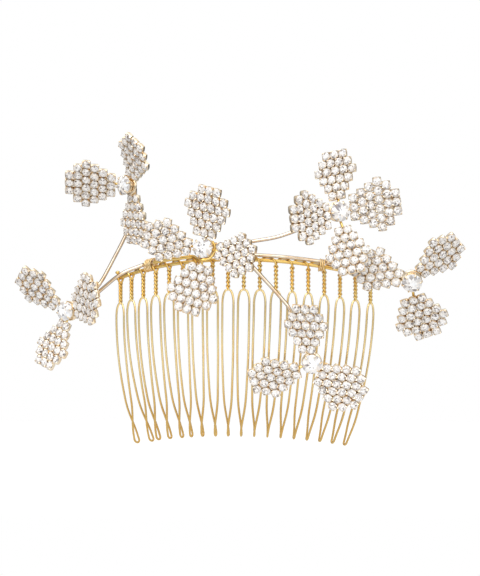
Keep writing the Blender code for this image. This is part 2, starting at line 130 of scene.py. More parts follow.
# A little more than the thickness of a CAD stem, to pick the corners of its end.
CAD_RING_REACH = 2.1 * STEM_RADIUS
CAD_RING_SEARCH = 8
# The widths of the rings that round off a wire, and how far they reach, in radii.
DOME_SHARES = (0.95, 0.75, 0.3)
DOME_HEIGHT = 0.9
# Places along the curl, to the right of the hub flower's middle stone and above it, in millimetres.
HUB_CURL = ((2.7, 1.5), (3.2, 0.2), (2.9, -1.4), (1.7, -2.8), (-0.4, -3.3))
HUB_CURL_THINNING = (0.62,) * 12 + (0.66, 0.72, 0.8, 0.88, 0.95)
HUB_CURL_SAG = 0.2 * MM
COIL_WIRE_RADIUS = 0.18 * MM
COIL_PITCH = 0.48 * MM
COIL_RADIUS = 1.6 * MM
COIL_WANDER = 0.05 * MM
COIL_WANDER_RATE = 0.37
COIL_FORWARD = 0.7 * MM
COIL_UP = 0.6 * MM
COIL_STEPS = 24
COIL_WOUND_SHARE = 0.62
LEFT_COIL = {"nudge": 1.0 * MM, "lift": 0.25 * MM, "slant": 0.15 * MM}
RIGHT_COIL = {"nudge": 0.9 * MM, "lift": -0.3 * MM, "slant": 0.35 * MM}

# ---- stones: the petals' are shares of their radius ----
STONE_RADIUS = 1.16 * MM
STONE_TABLE = 0.56
STONE_CROWN = 0.36
STONE_DEPTH = 0.8
STONE_CUTS = 8
CENTRE_RADIUS = 2.68 * MM
CENTRE_TABLE = 1.35 * MM
CENTRE_CROWN = 0.8 * MM
CENTRE_DEPTH = 1.5 * MM
CENTRE_CUTS = 11
CENTRE_LEVEL = 2.4 * MM
TABLE_STAR = 0.45
CROWN_STAR = 0.52
CROWN_STAR_LEVEL = 0.6
GIRDLE_HEIGHT = 0.08
# Painted reflections of the facets: for each kind of facet, the share of dark ones, and the tones of the others.
FACET_REFLECTION_LUCK = {"middle": (0.04, 0.88, 1.0), "wedge": (0.2, 0.62, 1.0), "star": (0.16, 0.5, 0.95),
              "kite": (0.12, 0.5, 0.92), "rim": (0.2, 0.4, 0.88), "edge": (0.2, 0.4, 0.8),
              "back": (0.2, 0.4, 0.8)}
DARK_REFLECTION_TONES = (0.05, 0.4)

# ---- petals ----
ROW_COUNT = 6
STONE_PITCH = 2.45 * MM
GIRDLE_LEVEL = 0.45 * MM
# Spreads of the hand-set cups: of their places, in millimetres, and of their tilt.
SEAT_SHIFT = (0.03, 0.03, 0.025)
SEAT_TILT = 0.05
CUP_HALF_SIDE = 1.225 * MM
CUP_SQUARENESS = 0.75
CUP_DEPTH = 1.25 * MM
CUP_WAIST = 0.45 * MM
CUP_WALL = 0.12 * MM
CUP_FOOT_SHARE = 0.72
CUP_INNER_SHARE = 0.62
CUP_INNER_DEPTH = 0.8
CUP_CORNER_POWER = 6
# The share of the reach by which a corner's claw leans in, the rim's level and the claw's rise.
CUP_RIM = (0.17, -0.16 * MM, 0.42 * MM)
CUP_INNER_RIM = (0.24, -0.18 * MM, 0.44 * MM)
CUP_SAMPLES = 24
CUP_FLOOR = GIRDLE_LEVEL - CUP_DEPTH
BAR_HALF_WIDTH = 0.28 * MM
BAR_SHORTFALL = 0.6
BAR_LEVELS = (CUP_FLOOR - 0.12 * MM, CUP_FLOOR + 0.05 * MM)
RIB_HALF_WIDTH = 0.22 * MM
RIB_LEVELS = (CUP_FLOOR - 0.2 * MM, CUP_FLOOR - 0.02 * MM)
RIB_ROWS = 2.4
TAB_RADIUS = 0.36 * MM
TAB_ROWS = 2.3
TAB_LEVEL = CUP_FLOOR - 0.1 * MM
TAB_DROP = 2.1 * MM
TAB_START = 1.6 * MM
TAB_BOW = 0.15 * MM

# ---- flower middles: (reach, height) from the stone's girdle, in millimetres ----
MIDDLE_SIDES = 40
PLATE_PROFILE = ((0.2, -2.85), (2.45, -2.85), (2.7, -2.7), (2.72, -2.4), (2.5, -2.15), (0.2, -2.05))
COLLAR_PROFILE = ((1.8, -2.05), (2.15, -1.6), (2.6, -0.65), (2.68, -0.35), (2.66, -0.28),
                  (2.5, -0.35), (2.1, -1.2), (1.6, -1.7))
CLAW_PROFILE = ((2.4, -1.4), (2.7, -0.5), (2.68, 0.1), (2.45, 0.38), (2.2, 0.5))
CLAW_COUNT = 6
CLAW_TURN = 0.2
CLAW_RADIUS = 0.2 * MM

# ---- finishes, with painted shade and painted glow ----
PATCH_SCALE = 260.0
DRAWN_GRAIN = 9000.0
FINE_GRAIN = 12000.0
GRAIN_DEPTH = 0.03 * MM
# Painted shade: how far ambient occlusion looks for nearby metal, its range that darkens crevices, and the facing
# range that darkens rims.
CREVICE_SHADE_REACH = 0.5 * MM
CREVICE_SHADE_RANGE = (0.2, 0.6)
EDGE_SHADE_RANGE = (0.12, 0.6)
# Painted shade on the teeth starts this high above the lowest tip and is full from the second height down.
TIP_SHADE_START = 26.0 * MM
TIP_SHADE_FULL = 10.4 * MM
# Painted glow of the stones' facets.
PAINTED_FACET_GLOW = 0.18

# ---- stage ----
FLOOR_HALF_SIDE = 3.0
FLOOR_DROP = 2.0 * MM
FLOOR_GREY = 0.42
FLOOR_GLOW = (0.35, 0.64)
FLOOR_FADE = (0.06, 0.22)
STUDIO_BRIGHTNESS = 1.95
# Each light stands this far ahead of the comb, to its right and above it.
KEY_LIGHT = {"ahead": 0.5, "right": -0.35, "above": 0.5, "size": (0.4, 0.4), "power": 1.3}
FILL_LIGHT = {"ahead": 0.6, "right": 0.45, "above": 0.15, "size": (0.3, 0.6), "power": 0.5}
LENS = 180.0
SENSOR = 36.0
VIEW_HEIGHT = 0.1555
AIM_RIGHT = 1.1 * MM
AIM_DOWN = 7.7 * MM


# ---- small tools ----

def smooth_share(share):
    """Ease from 0 to 1 with level ends."""
    share = min(max(share, 0.0), 1.0)
    return share * share * (3.0 - 2.0 * share)


def new_piece(name, verts, faces, materials, body, smooth=True, replaces=()):
    """A mesh piece in the row frame that rides on a body, if one is given."""
    mesh = bpy.data.meshes.new(name)
    mesh.from_pydata([tuple(v) for v in verts], [], faces)
    mesh.update()
    piece = bpy.data.objects.new(name, mesh)
    bpy.context.scene.collection.objects.link(piece)
    for material in materials:
        mesh.materials.append(material)
    if smooth:
        mesh.shade_smooth()
    if body is not None:
        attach(piece, body)
    if replaces:
        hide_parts(*replaces)
    return piece


def ringed_faces(rings, sides):
    """Faces of a closed shape whose vertices come ring by ring, with a cap at each end."""
    faces = []
    for ring in range(rings - 1):
        for side in range(sides):
            ahead = (side + 1) % sides
            low, high = ring * sides, (ring + 1) * sides
            faces.append((low + side, low + ahead, high + ahead, high + side))
    faces.append(tuple(range(sides))[::-1])
    faces.append(tuple(range((rings - 1) * sides, rings * sides)))
    return faces


def tube(points, radius, sides=8, start_swell=()):
    """A round wire along the points, with domed ends. start_swell scales its first rings."""
    points, radii = dome_ends([Vector(p) for p in points], radius)
    for index, swell in enumerate(start_swell):
        radii[index] *= swell
    verts = []
    tangent = (points[1] - points[0]).normalized()
    normal = tangent.orthogonal().normalized()
    for index, point in enumerate(points):
        before = points[max(index - 1, 0)]
        after = points[min(index + 1, len(points) - 1)]
        new_tangent = (after - before).normalized()
        normal = tangent.rotation_difference(new_tangent) @ normal
        normal = (normal - new_tangent * normal.dot(new_tangent)).normalized()
        tangent = new_tangent
        side = tangent.cross(normal)
        for corner in range(sides):
            angle = 2 * math.pi * corner / sides
            verts.append(point + (normal * math.cos(angle) + side * math.sin(angle)) * radii[index])
    return verts, ringed_faces(len(points), sides)


def dome_ends(points, radius):
    """Add narrowing rings beyond both ends of a wire."""
    start_out = (points[0] - points[1]).normalized()
    end_out = (points[-1] - points[-2]).normalized()
    heights = [DOME_HEIGHT * math.sqrt(1 - share * share) for share in DOME_SHARES]
    start = [points[0] + start_out * radius * height for height in heights]
    end = [points[-1] + end_out * radius * height for height in heights]
    narrow = [radius * share for share in DOME_SHARES]
    radii = narrow[::-1] + [radius] * len(points) + narrow
    return start[::-1] + points + end, radii


def catmull(knots, steps):
    """A smooth path through the knots."""
    guides = [2 * knots[0] - knots[1]] + list(knots) + [2 * knots[-1] - knots[-2]]
    path = [knots[0].copy()]
    for start in range(1, len(guides) - 2):
        p0, p1, p2, p3 = guides[start - 1:start + 3]
        for step in range(1, steps + 1):
            t = step / steps
            path.append(0.5 * (2 * p1 + (p2 - p0) * t + (2 * p0 - 5 * p1 + 4 * p2 - p3) * t ** 2
                               + (3 * p1 - p0 - 3 * p2 + p3) * t ** 3))
    return path


def lathe(profile, sides):
    """A turned closed shape from (radius, height) pairs in millimetres."""
    verts = [(r * MM * math.cos(2 * math.pi * s / sides), r * MM * math.sin(2 * math.pi * s / sides),
              z * MM) for r, z in profile for s in range(sides)]
    return verts, ringed_faces(len(profile), sides)


def box_shape(low, high):
    """A plain bar between two corners."""
    verts = [(x, y, z) for z in (low[2], high[2]) for y in (low[1], high[1]) for x in (low[0], high[0])]
    faces = [(0, 2, 3, 1), (4, 5, 7, 6), (0, 1, 5, 4), (2, 6, 7, 3), (0, 4, 6, 2), (1, 3, 7, 5)]
    return verts, faces


class Cluster:
    """Collects many small shapes into one mesh."""

    def __init__(self):
        self.verts = []
        self.faces = []
        self.kinds = []

    def add(self, shape, matrix):
        base = len(self.verts)
        self.verts += [matrix @ Vector(v) for v in shape[0]]
        self.faces += [tuple(base + i for i in face) for face in shape[1]]
        self.kinds += shape[2] if len(shape) > 2 else []


def cad_mesh(node):
    """Merged vertices and triangles of a CAD node."""
    mesh = frame["nodes"][node].data
    keys, places, remap = {}, [], []
    for vertex in mesh.vertices:
        key = tuple(round(c * 1e7) for c in vertex.co)
        if key not in keys:
            keys[key] = len(places)
            places.append(vertex.co.copy())
        remap.append(keys[key])
    return places, [tuple(remap[i] for i in face.vertices) for face in mesh.polygons]


def cad_middle(node):
    """Mean place of a CAD node's corners."""
    places, _ = cad_mesh(node)
    return sum(places, Vector()) / len(places)


def cad_wire_path(node, root):
    """Centre line of a CAD wire, counted ring by ring from its end nearest to root."""
    places, faces = cad_mesh(node)
    links = [set() for _ in places]
    for face in faces:
        for corner in face:
            links[corner].update(face)
    order = sorted(range(len(places)), key=lambda i: (places[i] - root).length)
    first = places[order[0]]
    ring = {i for i in order[:CAD_RING_SEARCH] if (places[i] - first).length < CAD_RING_REACH}
    seen = set(ring)
    path = []
    while ring:
        path.append(sum((places[i] for i in ring), Vector()) / len(ring))
        ring = {j for i in ring for j in links[i]} - seen
        seen |= ring
    return path


# ---- materials ----

def new_material(name):
    """A fresh material, its node tree and its main shader."""
    material = bpy.data.materials.new(name)
    material.use_nodes = True
    tree = material.node_tree
    return material, tree, tree.nodes["Principled BSDF"]


def add_node(tree, kind, **values):
    """A node with its inputs or settings given by name."""
    node = tree.nodes.new(kind)
    for key, value in values.items():
        if key in node.inputs:
            node.inputs[key].default_value = value
        else:
            setattr(node, key, value)
    return node


def grey(value):
    """A colour without a hue."""
    return value, value, value


def map_range(tree, source, before, after=(0.0, 1.0)):
    """Carry the range before of a value over to the range after."""
    node = add_node(tree, "ShaderNodeMapRange")
    for name, value in zip(("From Min", "From Max", "To Min", "To Max"), before + after):
        node.inputs[name].default_value = value
    tree.links.new(source, node.inputs["Value"])
    return node.outputs["Result"]


def multiply(tree, first, second):
    """The product of two values."""
    node = add_node(tree, "ShaderNodeMath", operation="MULTIPLY")
    tree.links.new(first, node.inputs[0])
    tree.links.new(second, node.inputs[1])
    return node.outputs["Value"]


def colour_ramp(tree, source, stops):
    """Colours from (place, colour) stops."""
    node = add_node(tree, "ShaderNodeValToRGB")
    ramp = node.color_ramp
    while len(ramp.elements) < len(stops):
        ramp.elements.new(0.5)
    for element, (place, colour) in zip(ramp.elements, stops):
        element.position = place
        element.color = (*colour, 1.0)
    tree.links.new(source, node.inputs["Fac"])
    return node.outputs["Color"]


def unshaded_share(tree, edge):
    """1 on open metal that faces the camera, less where painted shade darkens it: in crevices and, by edge, where
    it turns away.
    """
    near = add_node(tree, "ShaderNodeAmbientOcclusion", samples=4, Distance=CREVICE_SHADE_REACH)
    turned = add_node(tree, "ShaderNodeLayerWeight", Blend=0.5)
    is_open = map_range(tree, near.outputs["AO"], CREVICE_SHADE_RANGE)
    is_front = map_range(tree, turned.outputs["Facing"], EDGE_SHADE_RANGE, (1.0, 1.0 - edge))
    return multiply(tree, is_open, is_front)


def plated_metal(name, light, deep, crevice_shade, edge, roughness, grain, glow=0.0):
    """Polished plating: soft patches of deeper colour and fine drawing marks, with painted shade in crevices and
    at turned-away rims, and a painted glow.
    """
    material, tree, shader = new_material(name)
    place = add_node(tree, "ShaderNodeTexCoord")
    patches = add_node(tree, "ShaderNodeTexNoise", Scale=PATCH_SCALE, Detail=3.0, Roughness=0.6)
    marks = add_node(tree, "ShaderNodeTexNoise", Scale=grain, Detail=2.0, Roughness=0.7)
    tree.links.new(place.outputs["Object"], patches.inputs["Vector"])
    tree.links.new(place.outputs["Object"], marks.inputs["Vector"])
    plating = colour_ramp(tree, patches.outputs["Fac"], ((0.35, deep), (0.62, light)))
    mix = add_node(tree, "ShaderNodeMix", data_type="RGBA")
    # Painted shade: crevices and rims that turn from the camera are mixed towards the crevice_shade colour.
    mix.inputs["A"].default_value = (*crevice_shade, 1.0)
    tree.links.new(unshaded_share(tree, edge), mix.inputs["Factor"])
    tree.links.new(plating, mix.inputs["B"])
    tree.links.new(mix.outputs["Result"], shader.inputs["Base Color"])
    rough = map_range(tree, marks.outputs["Fac"], (0.0, 1.0), (roughness * 0.7, roughness * 1.5))
    tree.links.new(rough, shader.inputs["Roughness"])
    bump = add_node(tree, "ShaderNodeBump", Strength=0.12, Distance=GRAIN_DEPTH)
    tree.links.new(marks.outputs["Fac"], bump.inputs["Height"])
    tree.links.new(bump.outputs["Normal"], shader.inputs["Normal"])
    shader.inputs["Metallic"].default_value = 1.0
    # Painted glow: the metal gives off a little light of its deep colour, though it is no lamp.
    shader.inputs["Emission Color"].default_value = (*deep, 1.0)
    shader.inputs["Emission Strength"].default_value = glow
    return material


def shade_tips(material, colour):
    """Painted shade: darken the plating to a deeper gold towards the tips of the teeth."""
    tree = material.node_tree
    shader = tree.nodes["Principled BSDF"]
    plating = shader.inputs["Base Color"].links[0].from_socket
    place = add_node(tree, "ShaderNodeTexCoord")
    split = add_node(tree, "ShaderNodeSeparateXYZ")
    tree.links.new(place.outputs["Object"], split.inputs["Vector"])
    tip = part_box("tooth_wire")[0].z
    share = map_range(tree, split.outputs["Z"], (tip + TIP_SHADE_START, tip + TIP_SHADE_FULL))
    mix = add_node(tree, "ShaderNodeMix", data_type="RGBA", blend_type="MULTIPLY")
    mix.inputs["B"].default_value = (*colour, 1.0)
    tree.links.new(share, mix.inputs["Factor"])
    tree.links.new(plating, mix.inputs["A"])
    tree.links.new(mix.outputs["Result"], shader.inputs["Base Color"])


def facet_glass(name, stops):
    """Foil-backed cut glass: each facet throws back its own painted reflection, a tone and a tint."""
    material, tree, shader = new_material(name)
    tone = add_node(tree, "ShaderNodeAttribute", attribute_name="tone")
    reflection_tint = add_node(tree, "ShaderNodeAttribute", attribute_name="reflection_tint")
    # Painted reflection tints, from cool to warm.
    hues = ((0.0, (0.90, 0.94, 1.0)), (0.35, (1.0, 1.0, 1.0)), (0.7, (1.0, 0.99, 0.97)),
            (1.0, (1.0, 0.93, 0.86)))
    mix = add_node(tree, "ShaderNodeMix", data_type="RGBA", blend_type="MULTIPLY")
    mix.inputs["Factor"].default_value = 1.0
    tree.links.new(colour_ramp(tree, tone.outputs["Fac"], stops), mix.inputs["A"])
    tree.links.new(colour_ramp(tree, reflection_tint.outputs["Fac"], hues), mix.inputs["B"])
    tree.links.new(mix.outputs["Result"], shader.inputs["Base Color"])
    # Painted glow: each facet gives off light of its own colour, though it is no lamp.
    tree.links.new(mix.outputs["Result"], shader.inputs["Emission Color"])
    shader.inputs["Emission Strength"].default_value = PAINTED_FACET_GLOW
    shader.inputs["Roughness"].default_value = 0.06
    shader.inputs["IOR"].default_value = 1.6
    return material


# Each gold below paints shade into its crevices with crevice_shade and, by edge, onto rims that turn away; glow is
# a painted glow.
GOLD = plated_metal("comb_gold", light=(1.0, 0.85, 0.49), deep=(1.0, 0.77, 0.38),
                    crevice_shade=(0.60, 0.36, 0.12), edge=0.0, roughness=0.2, grain=DRAWN_GRAIN, glow=0.08)
shade_tips(GOLD, (0.66, 0.52, 0.28))
# Painted bounce light and shade: a deeper amber copy of the comb gold with near-black crevice shade, for the
# twists, laps, rod, bound stem tails and tabs.
PAINTED_AMBER = plated_metal("painted_amber_gold", light=(1.0, 0.78, 0.32), deep=(1.0, 0.63, 0.16),
                     crevice_shade=(0.15, 0.045, 0.0), edge=0.5, roughness=0.2, grain=DRAWN_GRAIN, glow=0.06)
ROSE = plated_metal("stem_rose_gold", light=(1.0, 0.88, 0.72), deep=(0.86, 0.62, 0.40),
                    crevice_shade=(0.14, 0.07, 0.03), edge=1.0, roughness=0.15, grain=DRAWN_GRAIN)
FINE = plated_metal("coil_gold", light=(1.0, 0.86, 0.54), deep=(1.0, 0.70, 0.32),
                    crevice_shade=(0.42, 0.18, 0.03), edge=0.4, roughness=0.22, grain=FINE_GRAIN, glow=0.1)
CUP_METAL = plated_metal("cup_gold", light=(1.0, 0.90, 0.72), deep=(0.98, 0.78, 0.54),
                         crevice_shade=(0.55, 0.36, 0.16), edge=0.1, roughness=0.22, grain=FINE_GRAIN)
# The stones' colours are painted reflections, dark to white by each facet's painted tone.
STONE = facet_glass("small_stone", ((0.0, (0.10, 0.08, 0.07)), (0.35, (0.36, 0.32, 0.30)),
                                    (0.7, (0.72, 0.69, 0.66)), (1.0, grey(0.96))))
CENTRE = facet_glass("middle_stone", ((0.0, (0.16, 0.14, 0.15)), (0.35, (0.46, 0.44, 0.44)),
                                      (0.7, grey(0.82)), (1.0, grey(1.0))))


# ---- the rod's arc ----

def arc_of_rod():
    """Middle, radius, end angle and end sag of the rod's arc, worked out from its box."""
    low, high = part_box("core_rod")
    middle = Vector(((low.x + high.x) / 2, low.y + ROD_RADIUS, high.z - ROD_RADIUS))
    half_chord = high.x - middle.x
    depth = high.y - middle.y
    near, far = half_chord, 10 * half_chord
    for _ in range(60):
        radius = (near + far) / 2
        sine = half_chord / (radius + ROD_RADIUS)
        cosine = (radius - depth) / (radius - ROD_RADIUS)
        if sine ** 2 + cosine ** 2 > 1:
            near = radius
        else:
            far = radius
    return middle, radius, math.asin(sine), middle.z - low.z - ROD_RADIUS


ROD_MIDDLE, ARC_RADIUS, ARC_END, ARC_END_SAG = arc_of_rod()
TEETH_END = ARC_END - ROD_OVERHANG / ARC_RADIUS
TOOTH_TIP = ROD_MIDDLE.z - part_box("tooth_wire")[0].z - TOOTH_TIP_END_DROP - TOOTH_WIRE_RADIUS


def rod_point(angle):
    """A place on the rod's centre line, which sags towards its ends."""
    share = angle / ARC_END
    return ROD_MIDDLE + Vector((ARC_RADIUS * math.sin(angle), ARC_RADIUS * (1 - math.cos(angle)),
                                -ARC_END_SAG * share ** 2))


def rod_along(angle):
    """The direction in which the rod runs."""
    return Vector((math.cos(angle), math.sin(angle), 0.0))


def rod_inward(angle):
    """The direction from the rod to the centre of its circle."""
    return Vector((-math.sin(angle), math.cos(angle), 0.0))


def around_rod(angle, clock, distance):
    """A point round the rod: clock 0 is above it, a right angle is in front of it."""
    return (rod_point(angle) - rod_inward(angle) * distance * math.sin(clock)
            + UP * distance * math.cos(clock))


# ---- comb ----

def tooth_angle(place):
    """Where a tooth stands on the arc. The places count from 1 at the left."""
    return TEETH_END * (2.0 * (place - 1) / (TOOTH_COUNT - 1) - 1.0)


def place_of_tooth(angle):
    """The place that belongs to an angle on the arc."""
    return 1 + (angle / TEETH_END + 1) * (TOOTH_COUNT - 1) / 2


def lap_points(start_angle, end_angle, first, last):
    """The wire's way over the rod, or the part of it between the shares first and last."""
    points = []
    for step in range(1, LAP_STEPS):
        place = step / LAP_STEPS
        clock = -math.pi / 2 * math.cos(math.pi * (first + (last - first) * place)) ** 3
        points.append(around_rod(start_angle + (end_angle - start_angle) * place, clock, LAP_DISTANCE))
    return points


def bead_points(angle):
    """The melted bead at the start of the tooth wire, standing above the rod's end."""
    foot = around_rod(angle, 0.0, LAP_DISTANCE)
    top = foot + UP * BEAD_HEIGHT - rod_along(angle) * BEAD_LEAN
    count = len(BEAD_SWELL)
    return [top + (foot - top) * (step / count) for step in range(count - 2)]


def twist_foot_height(angle):
    """How high the twist ends. The outer twists reach lower."""
    return ROD_MIDDLE.z - TWIST_FOOT - TWIST_FOOT_END_DROP * (angle / TEETH_END) ** 2


def twist_points(angle, phase):
    """One strand of a tooth's twist. It leaves the rod wide and closes on its partner."""
    root = rod_point(angle)
    top = root.z - TWIST_TOP
    foot = twist_foot_height(angle)
    points = []
    for step in range(TWIST_STEPS + 1):
        share = step / TWIST_STEPS
        turn = phase + share * TWIST_TURNS * 2 * math.pi
        turn += TWIST_EASE * math.sin(2 * turn)
        radius = TWIST_RADIUS + TWIST_SPREAD * math.exp(-share * TWIST_CLOSING_RATE)
        aside = rod_along(angle) * math.sin(turn) - rod_inward(angle) * math.cos(turn)
        points.append(Vector((root.x, root.y, top + (foot - top) * share)) + aside * radius)
    return points


def tooth_middle(angle, share):
    """The line between a tooth's legs: it curls to the back and leans a little to the left."""
    root = rod_point(angle)
    foot = twist_foot_height(angle)
    tip = ROD_MIDDLE.z - TOOTH_TIP - TOOTH_TIP_END_DROP * (angle / TEETH_END) ** 2
    aside = HAND_BENT_TIPS.get(round(place_of_tooth(angle)), 0.0) * share ** 2
    lean = TOOTH_LEAN * share ** (TOOTH_LEAN_POWER + TOOTH_LEAN_POWER_CHANGE * angle / TEETH_END)
    middle = Vector((root.x - lean + aside, root.y, foot + (tip - foot) * share))
    return middle + rod_inward(angle) * TOOTH_CURL * share ** TOOTH_CURL_POWER


def leg_direction(angle, share):
    """From a tooth's middle to its leg: the pair of legs turns edge-on towards the tip."""
    turn = LEG_TURN * smooth_share((share - LEG_TURN_START) / (LEG_TURN_END - LEG_TURN_START))
    return rod_along(angle) * math.cos(turn) - rod_inward(angle) * math.sin(turn)


def leg_half_gap(angle, share):
    """Half the distance between the legs: a round arch, a long body, then closing on the tip."""
    place = place_of_tooth(angle)
    loss = (NARROW_TEETH_LOSS * smooth_share((place - NARROW_TEETH_START) / NARROW_TEETH_SPAN)
            + LAST_TOOTH_LOSS * smooth_share(place - TOOTH_COUNT + 1))
    reach = LEG_HALF_GAP * (1 - loss)
    if share < LEG_ARCH:
        return TWIST_RADIUS + (reach - TWIST_RADIUS) * math.sqrt(1 - (1 - share / LEG_ARCH) ** 2)
    closing = smooth_share((share - LEG_NARROWING_START) / (TIP_LOOP_SHARE - LEG_NARROWING_START))
    return reach + (TIP_LOOP_RADIUS - reach) * closing


def leg_points(angle, side):
    """One leg, from below the twist to the loop at the tip."""
    points = []
    for step in range(1, LEG_STEPS + 1):
        share = TIP_LOOP_SHARE * (step / LEG_STEPS) ** 2
        points.append(tooth_middle(angle, share)
                      + leg_direction(angle, share) * leg_half_gap(angle, share) * side)
    return points


def tip_loop_points(angle):
    """The round turn of the wire at the tip."""
    middle = tooth_middle(angle, TIP_LOOP_SHARE)
    down = (tooth_middle(angle, 1.0) - middle).normalized()
    aside = leg_direction(angle, TIP_LOOP_SHARE)
    points = []
    for step in range(1, TIP_LOOP_STEPS):
        bend = math.pi * step / TIP_LOOP_STEPS
        points.append(middle + (aside * math.cos(bend) + down * math.sin(bend)) * TIP_LOOP_RADIUS)
    return points


def tooth_points(angle):
    """A whole tooth: down one leg, round the tip and up the other."""
    down = twist_points(angle, 0.0) + leg_points(angle, 1)
    up = leg_points(angle, -1)[::-1] + twist_points(angle, math.pi)[::-1]
    return down + tip_loop_points(angle) + up


def make_rod():
    """The core rod that the teeth hang from."""
    arc = [rod_point(-ARC_END + 2 * ARC_END * step / ROD_STEPS) for step in range(ROD_STEPS + 1)]
    verts, faces = tube(arc, ROD_RADIUS, 12)
    # The rod takes the painted amber.
    new_piece("rod", verts, faces, [PAINTED_AMBER], "comb", replaces=["core_rod"])


def make_teeth():
    """The one long wire of all the teeth, painted a deeper amber where it laps and twists, for the light bounced
    between the wires.
    """
    overhang = ROD_OVERHANG / ARC_RADIUS
    angles = [tooth_angle(place) for place in range(1, TOOTH_COUNT + 1)]
    points = bead_points(angles[0] - overhang) + lap_points(angles[0] - overhang, angles[0], 0.5, 1.0)
    for angle, next_angle in zip(angles, angles[1:]):
        points += tooth_points(angle)
        points += lap_points(angle, next_angle, 0.0, 1.0)
    points += tooth_points(angles[-1])
    points += lap_points(angles[-1], angles[-1] + overhang, 0.0, 0.5)
    verts, faces = tube(points, TOOTH_WIRE_RADIUS, 8, BEAD_SWELL)
    piece = new_piece("teeth", verts, faces, [GOLD, PAINTED_AMBER], "comb",
                      replaces=["tooth_wire"])
    # Painted bounce light: faces above the twist's foot take the painted amber, the legs the comb gold.
    for face in piece.data.polygons:
        angle = math.asin(max(min((face.center.x - ROD_MIDDLE.x) / ARC_RADIUS, 1.0), -1.0))
        face.material_index = int(face.center.z > twist_foot_height(angle) + AMBER_PAINT_END)


def make_coil(name, node, nudge, lift, slant):
    """Fine wire wound round the rod and a stem, where its CAD coil is."""
    low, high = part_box(node)
    middle = (low + high) / 2 - ROD_MIDDLE
    angle = math.asin(middle.x / ARC_RADIUS)
    fall = UP * 2 * ARC_END_SAG * angle / (ARC_END ** 2 * ARC_RADIUS)
    along = (rod_along(angle) - fall).normalized()
    forward = -rod_inward(angle)
    centre = rod_point(angle) + forward * COIL_FORWARD + UP * (COIL_UP + lift) + along * nudge
    turns = max(round(COIL_WOUND_SHARE * (high.x - low.x) / math.cos(angle) / COIL_PITCH), 3)
    points = []
    for step in range(turns * COIL_STEPS + 1):
        turn = 2 * math.pi * step / COIL_STEPS
        shift = (step / (turns * COIL_STEPS) - 0.5) * turns * COIL_PITCH + slant * math.cos(turn)
        reach = COIL_RADIUS + COIL_WANDER * math.sin(turn * COIL_WANDER_RATE + 1.0)
        points.append(centre + along * shift + (forward * math.sin(turn) + UP * math.cos(turn)) * reach)
    verts, faces = tube(points, COIL_WIRE_RADIUS, 8)
    new_piece(name, verts, faces, [FINE], "comb", replaces=[node])


# ---- stems ----

def hub_wrap(tail):
    """The tail of stem a goes on under the hub flower's middle stone and curls up around it."""
    low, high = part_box("flower_c_claw_setting")
    middle = (low + high) / 2
    curl = [middle + RIGHT * across * MM + UP * rise * MM for across, rise in HUB_CURL]
    return curl + [(curl[-1] + tail) / 2 - UP * HUB_CURL_SAG]


def bend_end(line, root):
    """The place on a stem where it has left the bend at its root behind."""
    nearest = min(range(len(line)), key=lambda i: (line[i] - root).length)
    return next(point for point in line[nearest + 1:] if (point - root).length > BEND_LENGTH)


def make_stem(name, knots, nodes, root, tail_end=None, tail_swell=()):
    """A smooth wire through the knots, on no body.

    The tail bound to the rod takes the rod's painted amber from tail_end rightwards.
    """
    line = catmull(knots, STEM_CURVE_STEPS)
    verts, faces = tube(line, STEM_RADIUS, STEM_SIDES, tail_swell)
    piece = new_piece(name, verts, faces, [ROSE, PAINTED_AMBER], None, replaces=nodes)
    if tail_end is not None:
        for face in piece.data.polygons:
            face.material_index = int(face.center.x > tail_end)
    tuple(root)
    tuple(bend_end(line, root))
    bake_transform(piece)


def make_stems():
    """The five free stems. Two of them carry on from the stems bound to the rod."""
    roots = {joint["name"].split("_")[1]: Vector(joint["pos_m"]) for joint in frame["joints"]}
    left = cad_wire_path("stem_left_bound", roots["a"])[::-1]
    right = cad_wire_path("stem_right_bound", roots["e"])[::-1]
    free = {letter: cad_wire_path(f"stem_{letter}", roots[letter]) for letter in "abdef"}
    make_stem("stem_wire_a", hub_wrap(left[0]) + left + free["a"], ["stem_left_bound", "stem_a"],
              roots["a"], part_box("binding_coil_left")[1].x, HUB_CURL_THINNING)
    make_stem("stem_wire_e", right + free["e"], ["stem_right_bound", "stem_e"],
              roots["e"])
    make_stem("stem_wire_b", free["b"], ["stem_b"], roots["b"])
    make_stem("stem_wire_d", free["d"], ["stem_d"], roots["d"])
    make_stem("stem_wire_f", free["f"], ["stem_f"], roots["f"])


# ---- stones and cups ----

